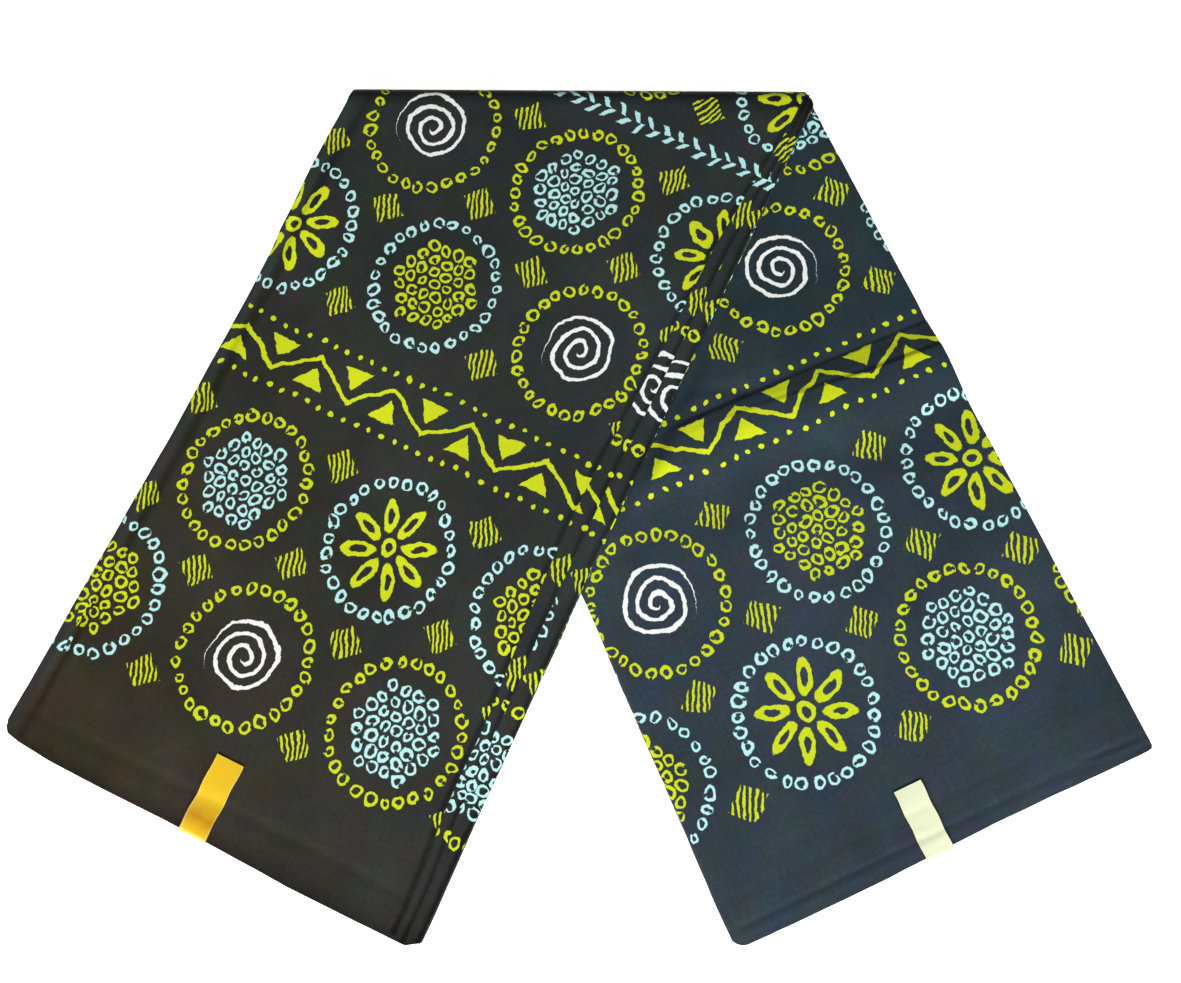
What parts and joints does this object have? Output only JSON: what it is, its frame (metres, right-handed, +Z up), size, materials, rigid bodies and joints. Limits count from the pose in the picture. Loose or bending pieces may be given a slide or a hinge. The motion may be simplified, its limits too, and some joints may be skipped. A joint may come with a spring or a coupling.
{
  "type": "folded length of wax print cloth",
  "caption": "A length of wax print cotton, zigzag folded into a flat strip and turned under once into an upturned V, with a ribbon label folded over each selvage end.",
  "frame": {"origin": "middle of the whole folded cloth's box, on the surface that it lies on", "axes": "+X to the right along the turned fold, +Y from the selvage ends towards the turned fold, +Z up from the surface"},
  "size_m": [0.769, 0.603, 0.0192],
  "materials": {
    "printed_cloth": "crisp plain weave cotton with a soft low sheen, dark navy ground with lime, pale aqua and white resist motifs",
    "gold_ribbon": "golden satin ribbon, left bare",
    "pale_ribbon": "pale yellow satin ribbon, left bare"
  },
  "bodies": {
    "root": {"left_leg_top_panel": "printed_cloth", "left_leg_second_panel": "printed_cloth", "left_leg_third_panel": "printed_cloth", "left_leg_layers": "printed_cloth", "left_leg_under_panel": "printed_cloth", "left_label": "gold_ribbon", "right_leg_top_panel": "printed_cloth", "right_leg_layers": "printed_cloth", "right_leg_under_panel": "printed_cloth", "right_label": "pale_ribbon", "turned_fold_panel": "printed_cloth", "turned_fold_layers": "printed_cloth"}
  },
  "joints": []
}
